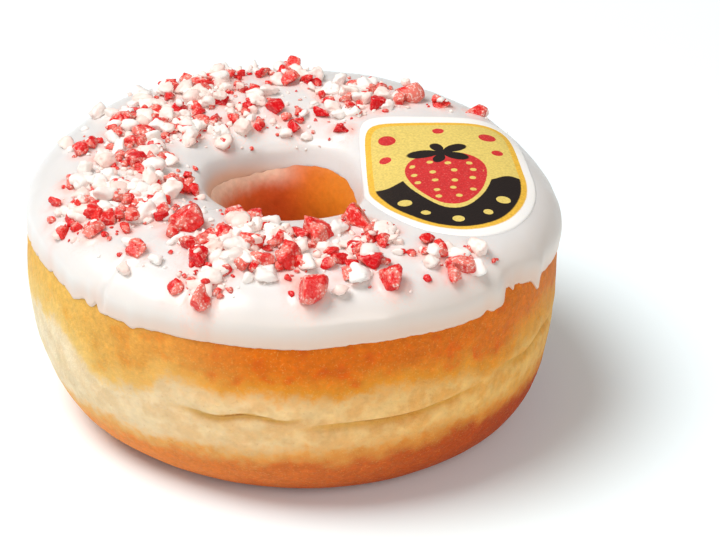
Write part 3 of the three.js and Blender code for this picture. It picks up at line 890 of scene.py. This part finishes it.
icing.data.materials.append(icing_material())
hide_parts("icing")
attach(icing, "root")


# The sugar plaque
# A thin sheet of sugar paste, printed with food colours, cut out with a white margin and laid on the wet
# icing, which holds it. The print is a plain strawberry on a yellow and a dark ground.
PLAQUE_LIFT = 0.16 * MM
PLAQUE_SUNK = -0.25 * MM
PLAQUE_EDGE = 0.3 * MM
PLAQUE_COLUMNS = 192
PLAQUE_TOP_ROWS = 44
PLAQUE_UNDER_ROWS = 5
# The print's sizes are in millimetres from the plaque's middle, as it is printed before it is laid.
PRINT_ACROSS = -0.35
PRINT_ALONG = -0.4
PRINT_HALF_WIDTH = 13.05
PRINT_HALF_LENGTH = 19.2
PRINT_RIM = 1.0
GROUND_LINE = -1.5
BERRY_HALF_WIDTH = 8.2
BERRY_HALF_LENGTH = 10.0
BERRY_MIDDLE = -1.6
BERRY_TAPER = 0.3
BERRY_POWER = 2.3
LEAVES = 5
LEAVES_MIDDLE = 7.6
LEAVES_REACH = 6.0
SEED_SPACING = 3.1
PRINT_YELLOW = srgb(222, 197, 106)
PRINT_RIM_YELLOW = srgb(232, 182, 62)
PRINT_RED = srgb(200, 44, 44)
PRINT_RED_GRAIN = srgb(236, 120, 112)
PRINT_DARK = srgb(28, 18, 14)
SUGAR_WHITE = srgb(246, 243, 238)
# Round dots beside the strawberry, as across, along and radius.
RED_DOTS = ((-8.8, 13.4, 1.5), (8.4, 13.4, 1.5), (-9.6, 7.4, 1.0), (9.4, 7.6, 1.0), (0.2, 15.8, 1.0))
YELLOW_DOTS = ((-8, -9.6, 1.2), (8.2, -9.4, 1.2), (-5, -13.6, 0.8), (5.2, -13.4, 0.8), (0.1, -15.6, 1.0))


def plaque_outline(share, angle):
    """A point of the flat plaque: share is 0 at its middle and 1 at its rim, angle goes round it."""
    power = plaque_power(np.sin(angle))
    reach = share * (np.abs(np.cos(angle)) ** power + np.abs(np.sin(angle)) ** power) ** (-1 / power)
    along = PLAQUE_HALF_LENGTH * np.sin(angle) * reach
    return plaque_half_width(along) * np.cos(angle) * reach, along


def sheet_mesh(name, rings, top_middle, under_middle):
    """A closed thin sheet, from the middle of its top over the rim to the middle of its underside."""
    rows, columns = rings.shape[:2]
    index = np.arange(rows * columns).reshape(rows, columns)
    onward = np.roll(index, -1, axis=1)
    quads = np.stack([index[:-1], index[1:], onward[1:], onward[:-1]], -1).reshape(-1, 4).tolist()
    top, under = index.size, index.size + 1
    top_fan = [[top, first, second] for first, second in zip(index[0].tolist(), onward[0].tolist())]
    under_fan = [[under, second, first] for first, second in zip(index[-1].tolist(), onward[-1].tolist())]
    points = np.concatenate([rings.reshape(-1, 3), [top_middle, under_middle]])
    return food_object(name, points, quads + top_fan + under_fan)


plaque_angle = angles_round(PLAQUE_COLUMNS)[None, :]
top_shares = np.linspace(0, 1, PLAQUE_TOP_ROWS + 1)[1:-1] ** 0.85
rim_shares = [0.984, 0.992, 0.998, 1.0]
under_shares = np.linspace(1, 0, PLAQUE_UNDER_ROWS + 1)[1:-1]
plaque_shares = np.concatenate([top_shares[top_shares < rim_shares[0]], rim_shares, under_shares])[:, None]
printed_across, printed_along = plaque_outline(plaque_shares, plaque_angle)
plaque_x = PLAQUE_X + printed_across * np.cos(PLAQUE_TURN) - printed_along * np.sin(PLAQUE_TURN)
plaque_y = PLAQUE_Y + printed_across * np.sin(PLAQUE_TURN) + printed_along * np.cos(PLAQUE_TURN)
inward = np.clip((1 - plaque_shares) * PLAQUE_HALF_WIDTH / PLAQUE_EDGE, 0, 1)
plaque_lift = PLAQUE_SUNK + (PLAQUE_LIFT - PLAQUE_SUNK) * np.sqrt(1 - (1 - inward) ** 2)
plaque_lift[-PLAQUE_UNDER_ROWS:] = PLAQUE_SUNK
plaque_rings = on_icing(plaque_x, plaque_y, plaque_lift)
middles = on_icing(np.full(2, PLAQUE_X), np.full(2, PLAQUE_Y), np.array([PLAQUE_LIFT, PLAQUE_SUNK]))
plaque = sheet_mesh("sugar_plaque_sheet", plaque_rings, *middles)
printed = np.stack([printed_across, printed_along, 0 * printed_across], -1).reshape(-1, 3) / MM
layer = plaque.data.attributes.new("printed_place", "FLOAT_VECTOR", "POINT")
layer.data.foreach_set("vector", np.concatenate([printed, np.zeros((2, 3))]).astype(np.float32).ravel())


def oval(across, along, half_width, half_length, power=2.0):
    """1 on an oval's or a rounded oblong's outline, less inside, more outside."""
    return abs(across / half_width) ** power + abs(along / half_length) ** power


def tag(across, along, half_width, half_length):
    """1 on an outline of the plaque's own shape, less inside, more outside."""
    straight = across / (along * (PLAQUE_TAPER / half_length) + 1.0)
    upper = calc("GREATER_THAN", along, 0.0)
    power = upper * (PLAQUE_TOP_POWER - PLAQUE_FOOT_POWER) + PLAQUE_FOOT_POWER
    return oval(straight, along, half_width, half_length, power)


def filled(outline, softness=0.02):
    """1 inside an outline, 0 outside."""
    return fade(outline, 1 + softness, 1 - softness)


def plaque_material():
    material, tree, finish = new_material("printed_sugar")
    printed_place = shader(tree, "ShaderNodeAttribute", attribute_name="printed_place").outputs["Vector"]
    ink_bleed = shader(tree, "ShaderNodeTexNoise", {"Vector": printed_place, "Scale": 2.2}).outputs["Color"]
    shift = shader(tree, "ShaderNodeVectorMath", {0: ink_bleed, 1: (0.5, 0.5, 0.5)}, operation="SUBTRACT")
    bled = {0: shift.outputs[0], 1: (0.16, 0.16, 0), 2: printed_place}
    bled_place = shader(tree, "ShaderNodeVectorMath", bled, operation="MULTIPLY_ADD").outputs[0]
    bled_across, bled_along, _ = shader(tree, "ShaderNodeSeparateXYZ", {0: bled_place}).outputs
    across = Amount(bled_across) - PRINT_ACROSS
    along = Amount(bled_along) - PRINT_ALONG
    ground = along - (calc("SINE", across * 0.75) * 0.9 + GROUND_LINE)
    colour = blend(fade(ground, 0.08, -0.08), PRINT_YELLOW, PRINT_DARK)
    grains, grain_height = specks(tree, 0.3 * MM, 0.4)
    red = blend(grains * 0.4, PRINT_RED, PRINT_RED_GRAIN)
    for dots, ink in ((RED_DOTS, red), (YELLOW_DOTS, PRINT_YELLOW)):
        for dot_across, dot_along, radius in dots:
            dot = oval(across - dot_across, along - dot_along, radius, radius)
            colour = blend(filled(dot), colour, ink)
    berry_along = along - BERRY_MIDDLE
    width_here = berry_along / BERRY_HALF_LENGTH * BERRY_TAPER + (1.0 - 0.5 * BERRY_TAPER)
    berry = oval(across / width_here, berry_along, BERRY_HALF_WIDTH, BERRY_HALF_LENGTH, BERRY_POWER)
    colour = blend(filled(berry - 0.1), colour, PRINT_YELLOW)
    inside_berry = berry + 0.18
    colour = blend(filled(inside_berry), colour, red)
    lattice = {"Vector": bled_place, "Scale": 1 / SEED_SPACING, "Randomness": 0.35}
    from_seed = shader(tree, "ShaderNodeTexVoronoi", lattice, voronoi_dimensions="2D").outputs["Distance"]
    seeds = fade(from_seed, 0.2, 0.15) * filled(inside_berry + 0.14)
    colour = blend(seeds, colour, PRINT_YELLOW)
    leaf_along = along - LEAVES_MIDDLE
    petals = abs(calc("SINE", calc("ARCTAN2", leaf_along, across) * (LEAVES / 2)))
    reach = (petals * 0.72 + 0.28) * LEAVES_REACH
    length = calc("SQRT", oval(across, leaf_along * 1.7, 1.0, 1.0))
    colour = blend(filled(length / reach, 0.04), colour, PRINT_DARK)
    field = tag(across, along, PRINT_HALF_WIDTH - PRINT_RIM, PRINT_HALF_LENGTH - PRINT_RIM)
    colour = blend(filled(field), PRINT_RIM_YELLOW, colour)
    colour = mottled(tree, colour, 0.4 * MM, 0.34)
    sheet = tag(across, along, PRINT_HALF_WIDTH, PRINT_HALF_LENGTH)
    colour = blend(filled(sheet), SUGAR_WHITE, colour)
    feed(finish, colour, grain_height * 0.2 + 0.55, relief(grain_height, 0.05 * MM))
    scatter_light(finish, 0.08, (0.5 * MM, 0.4 * MM, 0.3 * MM))
    finish["Specular IOR Level"].default_value = 0.3
    return material


plaque.data.materials.append(plaque_material())
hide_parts("sugar_plaque")
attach(plaque, "root")


# The strawberry pieces
# Broken, dried strawberry in sugar: glassy deep red where it is freshly broken, frosted pink where sugar
# grains stick. The pieces were strewn on the wet icing, which grips them and takes some of their colour;
# the pink round the larger red ones is partly that stain and partly painted glow of red light bounced off
# them.
PIECE_WIDTH = 0.84
PIECE_VARIETY = (0.85, 1.25)
CUT_DEPTHS = (0.22, 0.5)
LUMP_REACH = 0.66
RIDGE_WIDTH = 0.04
CRUMB_BEDDING = 0.25 * MM
LARGE_CRUMB = 1.6 * MM
NORMAL_STEP = 0.4 * MM


def unit_ball(divisions):
    """Directions evenly over a ball, and the triangles between them."""
    ball = bmesh.new()
    bmesh.ops.create_icosphere(ball, subdivisions=divisions, radius=1)
    ball.verts.index_update()
    directions = np.array([vertex.co[:] for vertex in ball.verts])
    triangles = np.array([[vertex.index for vertex in face.verts] for face in ball.faces])
    ball.free()
    return directions / np.linalg.norm(directions, axis=1, keepdims=True), triangles


def broken_lump(directions, draws, cuts, softness, grain):
    """A lump broken along flat faces, as points about its middle, and how near each is to a ridge."""
    facing = draws.normal(size=(cuts, 3))
    facing = facing / np.linalg.norm(facing, axis=1, keepdims=True)
    depth = draws.uniform(*CUT_DEPTHS, cuts)
    reach = np.minimum(depth / np.maximum(directions @ facing.T, 0.05), LUMP_REACH)
    sharpest = np.sort(reach, axis=1)
    ridge = np.exp(-(((sharpest[:, 1] - sharpest[:, 0]) / RIDGE_WIDTH) ** 2))
    soft = -softness * np.log(np.exp(-reach / softness).sum(axis=1))
    rough = lumps(directions, 0.45, draws.uniform(1, 90))
    rough = rough + 0.5 * lumps(directions, 0.16, draws.uniform(1, 90))
    return directions * (soft + grain * rough)[:, None], ridge


balls = {divisions: unit_ball(divisions) for divisions in (2, 3, 4)}


def divisions_for(length):
    """How finely a piece is shaped, by its size."""
    if length < LARGE_CRUMB:
        return 2
    return 3 if length < SMALLEST_PIECE * MM else 4


def strewn(name, spots, cuts, softness, grain, bedding, seed, least_tone=0.0, most_divisions=4):
    """One mesh of many broken pieces lying on the icing, each turned its own way and with its own tone."""
    draws = np.random.default_rng(seed)
    x, y, lift = (np.array([spot[key] for spot in spots]) for key in ("x", "y", "lift"))
    seats = on_icing(x, y, lift)
    slope_x = on_icing(x + NORMAL_STEP, y) - on_icing(x - NORMAL_STEP, y)
    slope_y = on_icing(x, y + NORMAL_STEP) - on_icing(x, y - NORMAL_STEP)
    upwards = np.cross(slope_x, slope_y)
    points, ridges, tones, faces = [], [], [], []
    points_so_far = 0
    for spot, seat, up in zip(spots, seats, upwards):
        directions, triangles = balls[min(most_divisions, divisions_for(spot["length"]))]
        shape, ridge = broken_lump(directions, draws, cuts, softness, grain)
        size = spot["length"] * np.array([1, PIECE_WIDTH, PIECE_HEIGHT]) * draws.uniform(*PIECE_VARIETY, 3)
        shape = shape / np.ptp(shape, axis=0) * size
        shape[:, 2] -= shape[:, 2].min() + min(bedding, 0.3 * size[2])
        turn = Matrix.Rotation(draws.uniform(0, 2 * np.pi), 3, "Z")
        stand = Vector(up).to_track_quat("Z", "Y").to_matrix() @ turn
        points.append(shape @ np.array(stand).T + seat)
        ridges.append(ridge)
        tones.append(np.full(len(shape), draws.uniform(least_tone, 1)))
        faces.append(triangles + points_so_far)
        points_so_far += len(shape)
    made = food_object(name, np.concatenate(points), np.concatenate(faces).tolist())
    store(made, "ridge", np.concatenate(ridges))
    store(made, "tone", np.concatenate(tones))
    return made


def strawberry_material():
    material, tree, finish = new_material("dried_strawberry")
    tone = stored(tree, "tone")
    red = blend(fade(tone, 0.2, 0.95), srgb(216, 5, 18), srgb(229, 50, 42))
    frost = stored(tree, "ridge") * 0.1 + noise_of(tree, 1.9 * MM) + tone * 0.16
    frosted = fade(frost, 0.56, 0.73)
    colour = blend(frosted * 0.68, red, srgb(237, 144, 127))
    grains, grain_height = specks(tree, 0.4 * MM, 0.5)
    colour = blend(grains * (frosted * 0.75 + 0.09), colour, srgb(254, 218, 208))
    feed(finish, colour, frosted * 0.4 + 0.2, relief(grain_height, 0.14 * MM))
    scatter_light(finish, 0.3, (1.2 * MM, 0.3 * MM, 0.24 * MM))
    finish["Specular IOR Level"].default_value = 0.35
    return material


strawberry_finish = strawberry_material()
red_pieces = [spot for spot in pieces if spot["kind"] == "strawberry"]
red_crumbs = [spot for spot in crumbs if spot["kind"] == "strawberry"]
strawberry_pieces = strewn(
    "strawberry_pieces", red_pieces, cuts=10, softness=0.012, grain=0.03, bedding=PIECE_BEDDING, seed=61
)
strawberry_crumbs = strewn(
    "strawberry_crumbs", red_crumbs, cuts=9, softness=0.02, grain=0.05, bedding=CRUMB_BEDDING, seed=62,
    least_tone=0.35,
)
for strewn_piece in (strawberry_pieces, strawberry_crumbs):
    strewn_piece.data.materials.append(strawberry_finish)
    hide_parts("icing")
    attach(strewn_piece, "root")


# The meringue pieces
# Crushed white meringue, in soft-edged lumps and crumbs, strewn with the strawberry and held by the icing.
# The broken faces are matt, and a faint warm glow is painted into them, standing in for light that soaks
# through the translucent meringue, so that they stay bright in the shade.
def meringue_material():
    material, tree, finish = new_material("crushed_meringue")
    tone = stored(tree, "tone")
    colour = blend(tone, srgb(236, 232, 227), srgb(235, 224, 214))
    blush = fade(noise_of(tree, 2.2 * MM) + tone * 0.3, 0.56, 0.84)
    colour = blend(blush * 0.5, colour, srgb(240, 184, 170))
    grains, grain_height = specks(tree, 0.5 * MM, 0.3)
    feed(finish, colour, grains * 0.25 + 0.4, relief(grain_height, 0.06 * MM))
    # Painted light: the meringue glows faintly, though it is no lamp.
    finish["Emission Color"].default_value = srgb(255, 246, 238)
    finish["Emission Strength"].default_value = 0.12
    finish["Specular IOR Level"].default_value = 0.25
    return material


meringue_finish = meringue_material()
white_pieces = [spot for spot in pieces if spot["kind"] == "meringue"]
white_crumbs = [spot for spot in crumbs if spot["kind"] == "meringue"]
meringue_pieces = strewn(
    "meringue_pieces", white_pieces, cuts=9, softness=0.035, grain=0.08, bedding=PIECE_BEDDING, seed=71
)
meringue_crumbs = strewn(
    "meringue_crumbs", white_crumbs, cuts=8, softness=0.03, grain=0.09, bedding=CRUMB_BEDDING, seed=72,
    most_divisions=3,
)
for strewn_piece in (meringue_pieces, meringue_crumbs):
    strewn_piece.data.materials.append(meringue_finish)
    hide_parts("icing")
    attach(strewn_piece, "root")


# The table, the lights and the camera
# A plain white surface, one large soft light from the left, a weaker one from the front and pale light from
# all round, seen from the front and above.
FLOOR_HALF = 3.0
CAMERA_AT = Vector((0, -391.7, 241.6)) * MM
CAMERA_TARGET = Vector((11.7, -0.36, 19.36)) * MM
CAMERA_ROLL = math.radians(1.8)
CAMERA_LENS = 132
CAMERA_SENSOR = 36
LIGHTS_AIM = Vector((0, 0, 0.02))


def table_material():
    material, tree, finish = new_material("white_table")
    colour = mottled(tree, srgb(241, 252, 255), 0.4, 0.01)
    roughness = noise_of(tree, 0.2) * 0.1 + 0.7
    feed(finish, colour, roughness, relief(noise_of(tree, 10 * MM), 0.01 * MM))
    finish["Emission Color"].default_value = (0.95, 1, 1, 1)
    finish["Emission Strength"].default_value = 0.05
    return material


def soft_light(name, at, size, power, colour=(1, 1, 1)):
    """A large soft lamp that points at the ring."""
    lamp = bpy.data.lights.new(name, "AREA")
    lamp.shape = "DISK"
    lamp.color = colour
    lamp.size = size
    lamp.energy = power
    made = bpy.data.objects.new(name, lamp)
    made.location = at
    made.rotation_euler = (LIGHTS_AIM - Vector(at)).to_track_quat("-Z", "Y").to_euler()
    bpy.context.collection.objects.link(made)


corners = np.array([(-1, -1, 0), (1, -1, 0), (1, 1, 0), (-1, 1, 0)]) * FLOOR_HALF
floor = food_object("table_top", corners, [(0, 1, 2, 3)])
floor.data.materials.append(table_material())
soft_light("left_window", (-0.76, -0.1, 1.45), size=1.05, power=27)
soft_light("front_fill", (0.38, -0.94, 0.78), size=0.8, power=4.8, colour=(1, 0.95, 0.92))

world = bpy.data.worlds.new("pale_room")
world.use_nodes = True
sky = next(n for n in world.node_tree.nodes if n.type == "BACKGROUND")
sky.inputs["Color"].default_value = (1, 0.975, 0.955, 1)
sky.inputs["Strength"].default_value = 0.225
bpy.context.scene.world = world
bpy.context.scene.view_settings.view_transform = "Standard"

lens = bpy.data.cameras.new("camera")
lens.lens = CAMERA_LENS
lens.sensor_width = CAMERA_SENSOR
camera = bpy.data.objects.new("camera", lens)
aim = (CAMERA_TARGET - CAMERA_AT).to_track_quat("-Z", "Y").to_matrix().to_4x4()
camera.matrix_world = Matrix.Translation(CAMERA_AT) @ aim @ Matrix.Rotation(CAMERA_ROLL, 4, "Z")
bpy.context.collection.objects.link(camera)
bpy.context.scene.camera = camera
